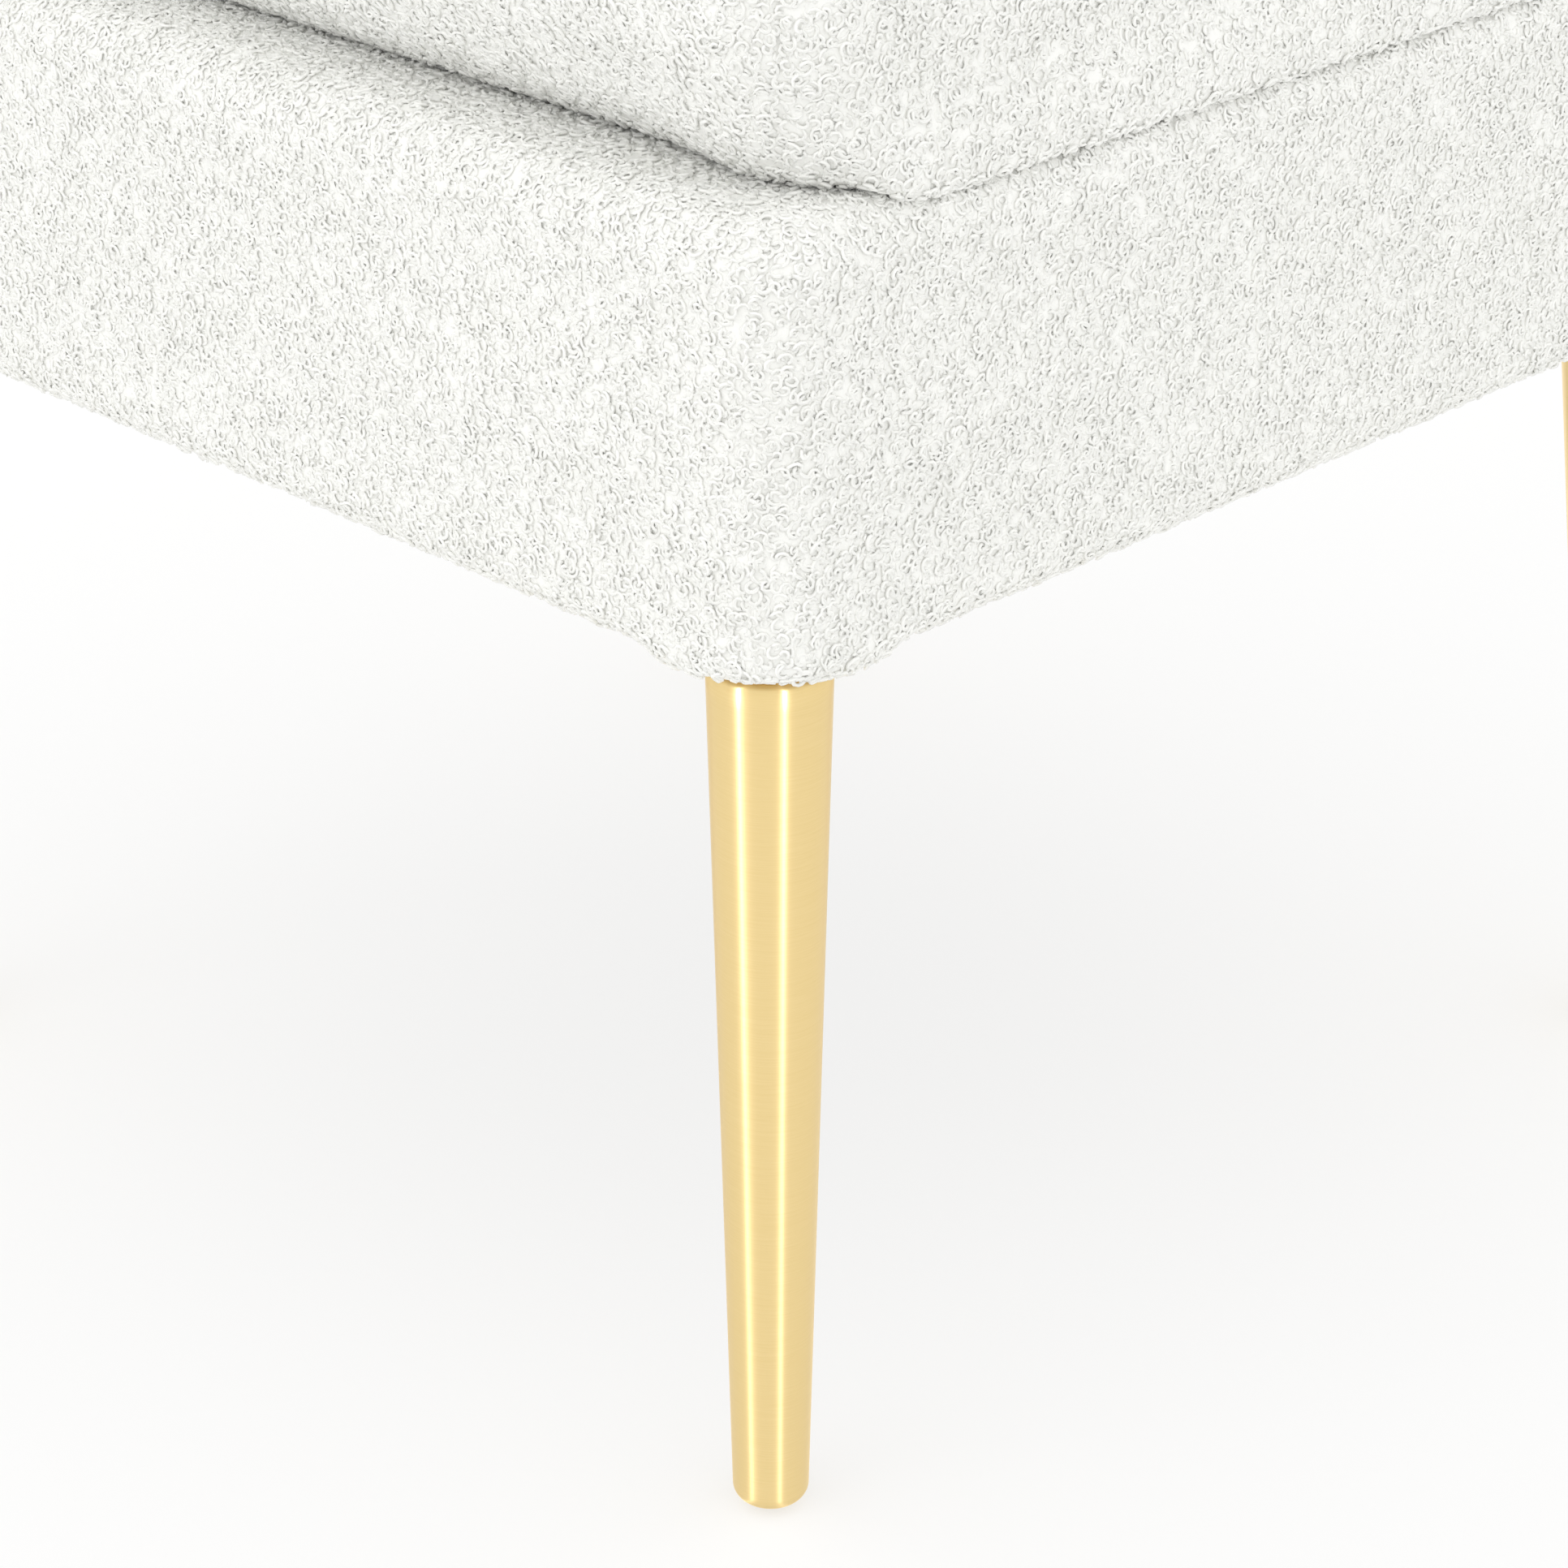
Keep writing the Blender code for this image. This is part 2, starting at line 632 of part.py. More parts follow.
def screw_profile(clearance):
    """A countersunk screw, its head's top at z = 0, pointing down."""
    shaft = SCREW_RADIUS + clearance
    head = SCREW_HEAD_RADIUS + clearance
    tip = -SCREW_LENGTH - clearance
    top = [(0.0, clearance), (head, clearance), (head, -SCREW_LAND)]
    return top + [(shaft, -SCREW_HEAD), (shaft, tip + SCREW_POINT), (0.0, tip)]


def make_leaf(name, low_z, first, place, parent, screw_holes):
    plate, extras = leaf_mesh(name, low_z, first)
    leaf = piece(name, plate, zinc_steel(), parent, place)
    for index, extra in enumerate(extras):
        helper = cutter(f"{name}_extra_{index}", extra, parent, place)
        combine(leaf, helper, "UNION")
    bore = cylinder_mesh("pin_bore", BORE_RADIUS, -HINGE_LENGTH, HINGE_LENGTH)
    bore.transform(Matrix.Rotation(math.radians(90.0), 4, "Y"))
    combine(leaf, cutter(name + "_bore", bore, parent, place), "DIFFERENCE")
    combine(leaf, screw_holes, "DIFFERENCE")


def pin_mesh():
    end = HINGE_LENGTH / 2 + GAP
    head = end + PIN_HEAD
    profile = [
        (0.0, head),
        (PIN_HEAD_RADIUS, head),
        (PIN_HEAD_RADIUS, end),
        (PIN_RADIUS, end),
        (PIN_RADIUS, -end),
        (PIN_HEAD_RADIUS, -end),
        (PIN_HEAD_RADIUS, -head),
        (0.0, -head),
    ]
    mesh = turned_mesh("hinge_pin", profile, SMALL_SIDES)
    mesh.transform(Matrix.Rotation(math.radians(90.0), 4, "Y"))
    return mesh


def make_screws(parent, group, spread, z, flip):
    """The countersunk screws of both hinges on one side, and the shape that cuts their holes."""
    screw = turned_mesh(group + "_screw", screw_profile(0.0), SCREW_SIDES)
    hole = turned_mesh(group + "_screw_hole", screw_profile(GAP), SCREW_SIDES)
    if flip:
        over = Matrix.Rotation(math.radians(180.0), 4, "X")
        screw.transform(over)
        hole.transform(over)
    places = []
    for side, sign in (("left", -1), ("right", 1)):
        for index, offset in enumerate((-spread, spread), start=1):
            place = Vector((sign * HINGE_X + offset, SCREW_Y, z))
            name = f"hinge_{side}_{group}_screw_{index}"
            piece(name, screw, zinc_steel(), parent, place - parent.location)
            places.append(place)
    return cutter(group + "_screw_holes", copies_mesh(group + "_screw_holes", hole, places))


def make_hinges(root, pivot, base_holes, lid_holes):
    for side, sign in (("left", -1), ("right", 1)):
        place = (sign * HINGE_X, AXIS_Y, AXIS_Z)
        on_lid = (sign * HINGE_X, 0.0, 0.0)
        make_leaf(f"hinge_{side}_base", BASE_LEAF_Z, 0, place, root, base_holes)
        make_leaf(f"hinge_{side}_lid", LID_LEAF_Z, 1, on_lid, pivot, lid_holes)
        piece(f"hinge_{side}_pin", pin_mesh(), zinc_steel(), root, place)


def build():
    root = empty("ottoman_with_storage", (0.0, 0.0, 0.0))
    pivot = empty("lid_pivot", (0.0, AXIS_Y, AXIS_Z))
    cover = make_body_cover(root)
    walls = make_walls(root)
    board = make_base(root)
    make_pads(root)
    make_storage_lining(root)
    make_rim_bumpers(root)
    make_legs(root, cover, board)
    lid_cover = make_lid_cover(pivot)
    lid_board = make_lid_filling(pivot)
    base_holes = make_screws(root, "base", BASE_SCREW_SPREAD, BASE_LEAF_Z + LEAF, flip=False)
    lid_holes = make_screws(pivot, "lid", LID_SCREW_SPREAD, LID_LEAF_Z, flip=True)
    for obj in (cover, walls["rear_panel"]):
        combine(obj, base_holes, "DIFFERENCE")
    for obj in (lid_cover, lid_board):
        combine(obj, lid_holes, "DIFFERENCE")
    make_hinges(root, pivot, base_holes, lid_holes)


clear_scene()
PARTS = make_collection("ottoman_with_storage")
CUTTERS = make_collection("cutters")
build()
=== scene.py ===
"""Looks for the ottoman with storage: looped wool-like covers, brushed gold legs, a lined compartment."""

import json
import math

import bpy
import numpy as np
from mathutils import Euler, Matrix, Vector, kdtree

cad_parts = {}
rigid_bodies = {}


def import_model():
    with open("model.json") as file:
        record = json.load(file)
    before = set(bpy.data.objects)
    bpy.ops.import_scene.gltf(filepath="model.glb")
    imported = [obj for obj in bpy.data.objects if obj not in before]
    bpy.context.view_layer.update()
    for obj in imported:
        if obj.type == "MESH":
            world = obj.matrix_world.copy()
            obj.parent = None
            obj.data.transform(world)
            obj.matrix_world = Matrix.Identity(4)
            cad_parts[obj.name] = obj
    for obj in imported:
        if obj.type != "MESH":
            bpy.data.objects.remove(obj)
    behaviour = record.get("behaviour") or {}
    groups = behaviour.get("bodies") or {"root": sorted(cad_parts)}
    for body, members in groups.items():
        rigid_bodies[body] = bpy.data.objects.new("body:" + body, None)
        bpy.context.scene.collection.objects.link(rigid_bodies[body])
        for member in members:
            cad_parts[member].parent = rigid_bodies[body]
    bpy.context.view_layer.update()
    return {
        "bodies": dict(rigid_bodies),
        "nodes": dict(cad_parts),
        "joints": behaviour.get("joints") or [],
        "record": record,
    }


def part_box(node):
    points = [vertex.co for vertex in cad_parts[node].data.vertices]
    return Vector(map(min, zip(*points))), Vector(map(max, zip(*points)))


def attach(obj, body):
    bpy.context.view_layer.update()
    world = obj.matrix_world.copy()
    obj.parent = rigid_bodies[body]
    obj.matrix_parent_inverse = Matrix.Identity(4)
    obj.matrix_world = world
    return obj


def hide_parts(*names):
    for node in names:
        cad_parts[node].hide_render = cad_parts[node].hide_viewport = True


# The object, in metres, as the CAD part has it
HALF = 0.200
RIM_Z = 0.351
BASE_Z = 0.235
RIM_RADIUS = 0.014
BASE_RADIUS = 0.010
PLAN_RADIUS = 0.020
COVER_MOUTH = 0.1607  # from the middle to the rolled edge round the opening
PANEL_INNER = 0.1689
BASE_LIP, LIP_PLAN_RADIUS = 0.167, 0.092  # the cover's edge under the base
DROP = 0.0032  # how far the cover comes down over the corner blocks
DROP_START, DROP_FULL = 0.149, 0.161
FOOT_PLAN_RADIUS = 0.037  # the corners' bottom edge is drawn in round this radius
FOOT_HIGH_Z, FOOT_FULL_Z = 0.244, 0.236  # where that begins and is complete

LID_HALF_X = 0.194
LID_FRONT_Y, LID_REAR_Y = -0.191, 0.1905
LID_LOW_Z = 0.3539
LID_TOP_Z = 0.434
LID_PLAN_RADIUS = 0.026
LID_FOOT_ROUND, LID_FOOT_HEIGHT = 0.012, 0.030  # the plan radius grows by this much at the cushion's foot
TUCK_EASE, TUCK_EASE_X = 0.42, 0.125  # the tuck eases off towards the corners
LID_TOP_RADIUS = 0.020
LID_BASE_RADIUS = 0.003
LID_BULGE, LID_CROWN = 0.003, 0.006
LID_LIP = 0.1605  # from the middle to the cover's edge under the lid
LID_CENTRE = 0.0002  # the innermost ring of the cushion's top
LID_MIDDLE_Y = (LID_FRONT_Y + LID_REAR_Y) / 2
LID_HALF_Y = (LID_REAR_Y - LID_FRONT_Y) / 2
TUCK, TUCK_HEIGHT, TUCK_REACH = 0.027, 0.040, 0.100  # how the front foot draws in
REST = -0.0002  # how far above the rim's crowns the cushion's soft edge rests
REST_HEIGHT = 0.022  # how far up the cushion this settling reaches
REST_SHARE, REST_WIDTH = 0.4, 0.012  # the settling away from the edge, and how soon it is full
SPREAD = 0.0036  # how far the settled edge swells out over the rim's shoulder
SPREAD_INSET, SPREAD_WIDTH = 0.010, 0.008
BUMPER_X, BUMPER_Y, BUMPER_ROOM = 0.178, 0.130, 0.007  # the covers keep this clear of each bumper
HINGE_X, HINGE_ROOM, HINGE_FRONT_Y = 0.110, 0.031, 0.166

LEG_AXIS = 0.1735
LEG_TOP_Z = 0.2315
LEG_TOP_RADIUS, LEG_FOOT_RADIUS, LEG_TIP_RADIUS = 0.0158, 0.0099, 0.0042
LEG_TIP_HEIGHT = 0.0058
LEG_ROLL = 0.0006
SPLAY = math.radians(4.5)
GLIDE, GLIDE_RADIUS, GLIDE_MIDDLE = 0.0012, 0.0042, 0.0003  # height, and its rings' radii
LEG_SIDES, GLIDE_SIDES = 96, 48

# The yarn of the covers
CELL = 0.0022  # spacing of the cloth's own mesh
BODY_STRAIGHT, BODY_BEND = 0.36, 0.03  # lengths of a side and a corner, to count their points by
LID_STRAIGHT, LID_BEND = 0.34, 0.04
LEAST_PLAN_RADIUS = 0.003
SINK = 0.0008  # the backing lies this far under the loops' crowns
LOOP_AREA = 5.2e-6  # square metres of cloth to a loop
LOOP_RADIUS = (0.0008, 0.0018)
LOOP_ARC = (200, 330)  # degrees
YARN_RADIUS = (0.00042, 0.00058)
LOOP_TILT = 20  # degrees
LOOP_RINGS = 8
YARN_SIDES = 4
LOOP_LIFT = 0.0001  # of a curl off the backing
LIFT_SPREAD = (-0.0002, 0.0004)
LOOP_WOBBLE = 0.16  # how far a curl is from round
SEAM_DEPTH, SEAM_WIDTH = 0.0008, 0.0012
BODY_SEED, LID_SEED = 11, 31
TOP_FACING = 0.8  # a spot belongs to the top where its normal's height is more than this
CHART_LOW, CHART_HIGH = (-0.21, -0.21, 0.20), (0.21, 0.21, 0.45)  # corners of the box that charts span
CHART_EDGE = 0.01

# Where the covers have loops: by the height of the normal and by place
BODY_UNDERSIDE = -0.85
LID_UNDERSIDE = -0.6
RIM_FACING, RIM_DEPTH = 0.7, 0.01
FOOT_FACING = -0.3
PRESSED = 0.5  # loops are left out where propped() is more than this
PRESSED_FADE, PROP_FADE = 0.001, 0.006
FOOT_MARGIN_X = LID_HALF_X - 0.024
FOOT_MARGIN_FRONT_Y, FOOT_MARGIN_REAR_Y = -0.144, 0.166

# Cloth simulation
FORM_CELL = 0.006
AIR_PRESSURE = 4.0
SETTLE_FRAMES = 20
CLOTH_QUALITY = 5
NEIGHBOURS = 4
BODY_PUFF, LID_PUFF = 0.0016, 0.004  # the furthest that the air moves a cover
BODY_PUFF_HEIGHT = 1.15  # share of the half height over which the box's cover is puffed
LID_PUFF_LOW, LID_PUFF_FADE = 0.004, 0.02  # how far up the cushion the air begins to move it
END_SHARE = 0.02  # size of the small rings that close the body's form

# Linings
LINING_INSET = 0.0006
LINING_BEND = 0.006
LINING_FLOOR = 0.0009
LINING_CORNER = 0.004
LINING_STEP, LINING_STRAIGHT = 0.004, 0.33
LINING_WAVES, CLOTH_WAVES = 0.0016, 0.0003
WAVE_COUNT, WAVE_NUMBER = 9, 38  # radians per metre, on average
LINING_SEED, CLOTH_SEED = 5, 8
CLOTH_COUNT = 90
DUST_CORNER_CUT = 0.054

# The stage
FLOOR_HALF = 8
FLOOR_GLOW = 0.66
SKY = 1.16
AIM_HEIGHT = 0.2
STRIP_ELEVATION, STRIP_DISTANCE, STRIP_HEIGHT = 24, 2.2, 1.6
STRIPS = {  # azimuth in degrees, width in metres, power in watts
    "left": (-5, 0.07, 20),
    "right": (68, 0.055, 16),
    "rear_left": (175, 0.11, 7),
    "rear_right": (248, 0.08, 6),
}
CAMERA_PLACE = (0.8898, -0.8869, 0.6907)
CAMERA_TURN = (64.05, 0.0, 44.92)  # degrees
CAMERA_LENS = 105.1
CAMERA_SENSOR = 36.0

CORNERS = {
    "front_left": (-1, -1),
    "front_right": (1, -1),
    "rear_right": (1, 1),
    "rear_left": (-1, 1),
}


# ---------------------------------------------------------------- small helpers
def smoothstep(value):
    t = np.clip(value, 0.0, 1.0)
    return t * t * (3.0 - 2.0 * t)


def mesh_from_arrays(name, points, quads):
    mesh = bpy.data.meshes.new(name)
    mesh.vertices.add(len(points))
    mesh.vertices.foreach_set("co", points.astype(np.float32).ravel())
    mesh.loops.add(4 * len(quads))
    mesh.loops.foreach_set("vertex_index", quads.astype(np.int32).ravel())
    mesh.polygons.add(len(quads))
    mesh.polygons.foreach_set("loop_start", np.arange(0, 4 * len(quads), 4, dtype=np.int32))
    mesh.update(calc_edges=True)
    mesh.shade_smooth()
    return mesh


def show(name, mesh, finish, body, replaces=(), location=(0.0, 0.0, 0.0)):
    """Puts a piece in the scene, on its CAD body."""
    piece = bpy.data.objects.new(name, mesh)
    piece.location = location
    bpy.context.scene.collection.objects.link(piece)
    mesh.materials.append(finish)
    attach(piece, body)
    if replaces:
        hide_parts(*replaces)
    return piece


def grid_quads(rows, columns, wrap=True):
    """Faces of a grid of rows and columns of points, closed round its columns."""
    last = columns if wrap else columns - 1
    i, j = np.meshgrid(np.arange(rows - 1), np.arange(last), indexing="ij")
    k = (j + 1) % columns
    corners = (i * columns + j, (i + 1) * columns + j, (i + 1) * columns + k, i * columns + k)
    return np.stack(corners, -1).reshape(-1, 4)


def arc(centre, radius, start, end, count=24):
    angles = np.radians(np.linspace(start, end, count))
    return np.stack([centre[0] + radius * np.cos(angles), centre[1] + radius * np.sin(angles)], 1)


def even_steps(outline, step):
    """The outline again, with points about a step apart."""
    lengths = np.linalg.norm(np.diff(outline, axis=0), axis=1)
    keep = np.concatenate([[True], lengths > 1e-9])
    outline = outline[keep]
    travel = np.concatenate([[0.0], np.cumsum(np.linalg.norm(np.diff(outline, axis=0), axis=1))])
    places = np.linspace(0.0, travel[-1], max(2, int(round(travel[-1] / step)) + 1))
    return np.stack([np.interp(places, travel, outline[:, k]) for k in range(2)], 1)


def ring(half_x, half_y, radius, centre_y, straight, bend):
    """Points round a rectangle with round corners, the same number for every size."""
    radius = min(radius, half_x * 0.98, half_y * 0.98)
    arcs = []
    for quarter, (sx, sy) in enumerate([(1, 1), (-1, 1), (-1, -1), (1, -1)]):
        middle = (sx * (half_x - radius), centre_y + sy * (half_y - radius))
        arcs.append(arc(middle, radius, 90 * quarter, 90 * quarter + 90, bend + 1))
    points = []
    share = np.linspace(0.0, 1.0, straight + 1)[1:-1, None]
    for quarter in range(4):
        start, end = arcs[quarter][-1], arcs[(quarter + 1) % 4][0]
        points += [arcs[quarter], start * (1 - share) + end * share]
    return np.concatenate(points)


# ---------------------------------------------------------------- covers' shapes
def corner_seam(points, half_x, half_y, centre_y, outward):
    """Presses the upright seam into each corner."""
    x, y = np.abs(points[..., 0]), np.abs(points[..., 1] - centre_y)
    off = np.abs((x - half_x) - (y - half_y)) / math.sqrt(2)
    near = (x > half_x - PLAN_RADIUS) & (y > half_y - PLAN_RADIUS)
    return points - outward * (SEAM_DEPTH * np.exp(-((off / SEAM_WIDTH) ** 2)) * near)[..., None]


def surface_normals(grid):
    """Outward normals of a closed-round grid of points."""
    along = np.gradient(grid, axis=0)
    across = np.roll(grid, -1, axis=1) - np.roll(grid, 1, axis=1)
    normal = np.cross(across, along)
    return -normal / np.maximum(np.linalg.norm(normal, axis=2, keepdims=True), 1e-12)


def body_drop(points):
    """Lets the lower edge down over the corner blocks."""
    x, y, z = np.abs(points[..., 0]), np.abs(points[..., 1]), points[..., 2]
    span = DROP_FULL - DROP_START
    across = smoothstep((x - DROP_START) / span) * smoothstep((y - DROP_START) / span)
    middle = (BASE_Z + RIM_Z) / 2
    points[..., 2] = z - DROP * across * smoothstep((middle - z) / (middle - BASE_Z - BASE_RADIUS))
    return points


def rim_bead():
    """The rolled edge of the cover, which reaches past the walls into the opening."""
    return [
        (PANEL_INNER - 0.0006, RIM_Z - 0.003),
        (COVER_MOUTH + 0.0022, RIM_Z - 0.0032),
        (COVER_MOUTH + 0.0003, RIM_Z - 0.0022),
        (COVER_MOUTH + 0.0005, RIM_Z - 0.0014),
        (COVER_MOUTH + 0.002, RIM_Z - SINK),
    ]


def body_grid(step=CELL):
    """The box's cover, from under the rim's bead round to its lip under the base."""
    profile = np.concatenate([
        rim_bead(),
        arc((HALF - RIM_RADIUS, RIM_Z - RIM_RADIUS), RIM_RADIUS - SINK, 90, 0),
        arc((HALF - BASE_RADIUS, BASE_Z + BASE_RADIUS), BASE_RADIUS - SINK, 0, -90),
        [(BASE_LIP + 0.002, BASE_Z + SINK), (BASE_LIP, BASE_Z + 0.0024)],
    ])
    profile = even_steps(profile, step)
    straight, bend = int(BODY_STRAIGHT / step), max(4, int(BODY_BEND / step))
    rows = []
    for half, z in profile:
        drawn = smoothstep((FOOT_HIGH_Z - z) / (FOOT_HIGH_Z - FOOT_FULL_Z))
        plan = PLAN_RADIUS + (FOOT_PLAN_RADIUS - PLAN_RADIUS) * drawn
        radius = max(LEAST_PLAN_RADIUS, plan - (HALF - half))
        if z < BASE_Z + BASE_RADIUS and half < HALF - BASE_RADIUS:
            share = (HALF - BASE_RADIUS - half) / (HALF - BASE_RADIUS - BASE_LIP)
            radius += (LIP_PLAN_RADIUS - radius) * share
        flat = ring(half, half, radius, 0.0, straight, bend)
        rows.append(np.concatenate([flat, np.full((len(flat), 1), z)], 1))
    return body_drop(np.array(rows))


def rim_height(reach):
    """Height of the rim, whose outer edge rounds over."""
    over = np.clip(reach - (HALF - RIM_RADIUS), 0.0, RIM_RADIUS * 0.98)
    return RIM_Z - RIM_RADIUS + np.sqrt(RIM_RADIUS**2 - over**2)


def propped(points, fade):
    """1 where a bumper or a hinge leaf lies between the lid and the rim, 0 away from them."""
    x, y = np.abs(points[..., 0]), points[..., 1]
    from_bumper = np.hypot(x - BUMPER_X, np.abs(y) - BUMPER_Y)
    bumper = smoothstep((BUMPER_ROOM + fade - from_bumper) / fade)
    across = smoothstep((HINGE_ROOM + fade - np.abs(x - HINGE_X)) / fade)
    leaf = across * smoothstep((y - HINGE_FRONT_Y + fade) / fade)
    return np.maximum(bumper, leaf)


def lid_shape(points):
    """Bulged sides, a crowned top, the tuck at the front and the soft edge that settles on the rim."""
    x, y, z = points[..., 0], points[..., 1], points[..., 2]
    level = (z - LID_LOW_Z) / (LID_TOP_Z - LID_LOW_Z)
    bulge = LID_BULGE * (1.0 - (2.0 * level - 1.0) ** 2)
    crown = LID_CROWN * (1 - (x / LID_HALF_X) ** 2) * (1 - ((y - LID_MIDDLE_Y) / LID_HALF_Y) ** 2)
    near_foot = np.clip((LID_LOW_Z + TUCK_HEIGHT - z) / TUCK_HEIGHT, 0.0, 1.0)
    tuck = TUCK * near_foot**2 * smoothstep((-y - (-LID_FRONT_Y - TUCK_REACH)) / TUCK_REACH)
    tuck = tuck * (1.0 - TUCK_EASE * smoothstep((np.abs(x) - TUCK_EASE_X) / (LID_HALF_X - TUCK_EASE_X)))
    low = smoothstep((LID_LOW_Z + REST_HEIGHT - z) / REST_HEIGHT)
    edge = smoothstep((np.abs(x) - (LID_HALF_X - SPREAD_INSET)) / SPREAD_WIDTH)
    shaped = points.copy()
    shaped[..., 0] = x + bulge * x / LID_HALF_X + np.sign(x) * SPREAD * low * edge
    shaped[..., 1] = y + bulge * (y - LID_MIDDLE_Y) / LID_HALF_Y + tuck
    reach = np.maximum(np.abs(x), np.abs(y - LID_MIDDLE_Y) * LID_HALF_X / LID_HALF_Y)
    near_edge = smoothstep((reach - LID_LIP) / REST_WIDTH)
    settling = low * (REST_SHARE + (1.0 - REST_SHARE) * near_edge)
    fall = (LID_LOW_Z - rim_height(np.abs(shaped[..., 0])) - REST) * settling
    shaped[..., 2] = z + crown * smoothstep(level) - fall * (1.0 - propped(shaped, PROP_FADE))
    return shaped


def lid_grid(step=CELL, closed=False):
    """The cushion's cover, from the middle of its top round to its lip, or to its middle if closed."""
    half = LID_HALF_X - SINK
    extra = LID_HALF_Y - LID_HALF_X  # how much the depth differs from the width
    end = LID_CENTRE if closed else LID_LIP
    profile = np.concatenate([
        [(LID_CENTRE, LID_TOP_Z - SINK)],
        arc((half - LID_TOP_RADIUS, LID_TOP_Z - SINK - LID_TOP_RADIUS), LID_TOP_RADIUS, 90, 0),
        arc((half - LID_BASE_RADIUS, LID_LOW_Z + SINK / 2 + LID_BASE_RADIUS), LID_BASE_RADIUS, 0, -90),
        [(end, LID_LOW_Z + SINK / 2)],
    ])
    profile = even_steps(profile, step)
    straight, bend = int(LID_STRAIGHT / step), max(4, int(LID_BEND / step))
    rows = []
    for half, z in profile:
        share = half / LID_HALF_X
        foot = LID_FOOT_ROUND * smoothstep((LID_LOW_Z + LID_FOOT_HEIGHT - z) / LID_FOOT_HEIGHT)
        radius = (LID_PLAN_RADIUS + foot) * share
        flat = ring(half, half + extra * share, radius, LID_MIDDLE_Y, straight, bend)
        rows.append(np.concatenate([flat, np.full((len(flat), 1), z)], 1))
    return lid_shape(np.array(rows))


# ---------------------------------------------------------------- cloth simulation
def puffed(name, grid, cap):
    """Where a grid's form goes when it is closed cloth that is filled with air: (places, moves)."""
    points = grid.reshape(-1, 3)
    form = bpy.data.objects.new(name, mesh_from_arrays(name, points, grid_quads(*grid.shape[:2])))
    bpy.context.scene.collection.objects.link(form)
    bpy.context.view_layer.objects.active = form
    form.select_set(True)
    closed = form.modifiers.new("close", "REMESH")
    closed.mode = "VOXEL"
    closed.voxel_size = FORM_CELL
    bpy.ops.object.modifier_apply(modifier="close")
    before = np.array([v.co for v in form.data.vertices])
    cloth = form.modifiers.new("cloth", "CLOTH")
    cloth.settings.use_pressure = True
    cloth.settings.uniform_pressure_force = AIR_PRESSURE
    cloth.settings.effector_weights.gravity = 0.0
    cloth.settings.quality = CLOTH_QUALITY
    cloth.point_cache.frame_end = SETTLE_FRAMES
    for frame in range(1, SETTLE_FRAMES + 1):
        bpy.context.scene.frame_set(frame)
    shown = form.evaluated_get(bpy.context.evaluated_depsgraph_get()).to_mesh()
    after = np.array([v.co for v in shown.vertices])
    bpy.context.scene.frame_set(1)
    moves = after - before
    length = np.maximum(np.linalg.norm(moves, axis=1, keepdims=True), 1e-9)
    moves *= np.minimum(1.0, cap / length)
    bpy.data.objects.remove(form)
    return before, moves


def follow(grid, before, moves, weight):
    """Moves a fine grid as the simulated form moved near each of its points."""
    tree = kdtree.KDTree(len(before))
    for index, place in enumerate(before):
        tree.insert(place, index)
    tree.balance()
    points = grid.reshape(-1, 3)
    moved = np.zeros_like(points)
    for index, point in enumerate(points):
        found = tree.find_n(point, NEIGHBOURS)
        shares = np.array([1.0 / (distance + 1e-4) for _, _, distance in found])
        near = np.array([moves[i] for _, i, _ in found])
        moved[index] = (near * shares[:, None]).sum(0) / shares.sum()
    return grid + (moved * weight.reshape(-1, 1)).reshape(grid.shape)


# ---------------------------------------------------------------- yarn loops
def scatter(grid, chosen, area, rng):
    """Spots spread evenly over the chosen faces of a grid: (places, normals)."""
    normals = surface_normals(grid).reshape(-1, 3)
    points = grid.reshape(-1, 3)
    quads = grid_quads(*grid.shape[:2])
    triangles = np.concatenate([quads[:, :3], quads[:, [0, 2, 3]]], 1).reshape(-1, 3)
    middle = points[triangles].mean(1)
    facing = normals[triangles].mean(1)
    triangles = triangles[chosen(middle, facing)]
    a, b, c = (points[triangles[:, k]] for k in range(3))
    sizes = np.linalg.norm(np.cross(b - a, c - a), axis=1) / 2
    count = int(sizes.sum() / area)
    targets = (np.arange(count) + rng.random(count)) / count * sizes.sum()
    picked = np.minimum(np.searchsorted(np.cumsum(sizes), targets), len(sizes) - 1)
    r, s = np.sqrt(rng.random(count)), rng.random(count)
    shares = np.stack([1 - r, r * (1 - s), r * s], 1)[:, :, None]
    corners = triangles[picked]
    places = (points[corners] * shares).sum(1)
    facing = (normals[corners] * shares).sum(1)
    return places, facing / np.maximum(np.linalg.norm(facing, axis=1, keepdims=True), 1e-9)


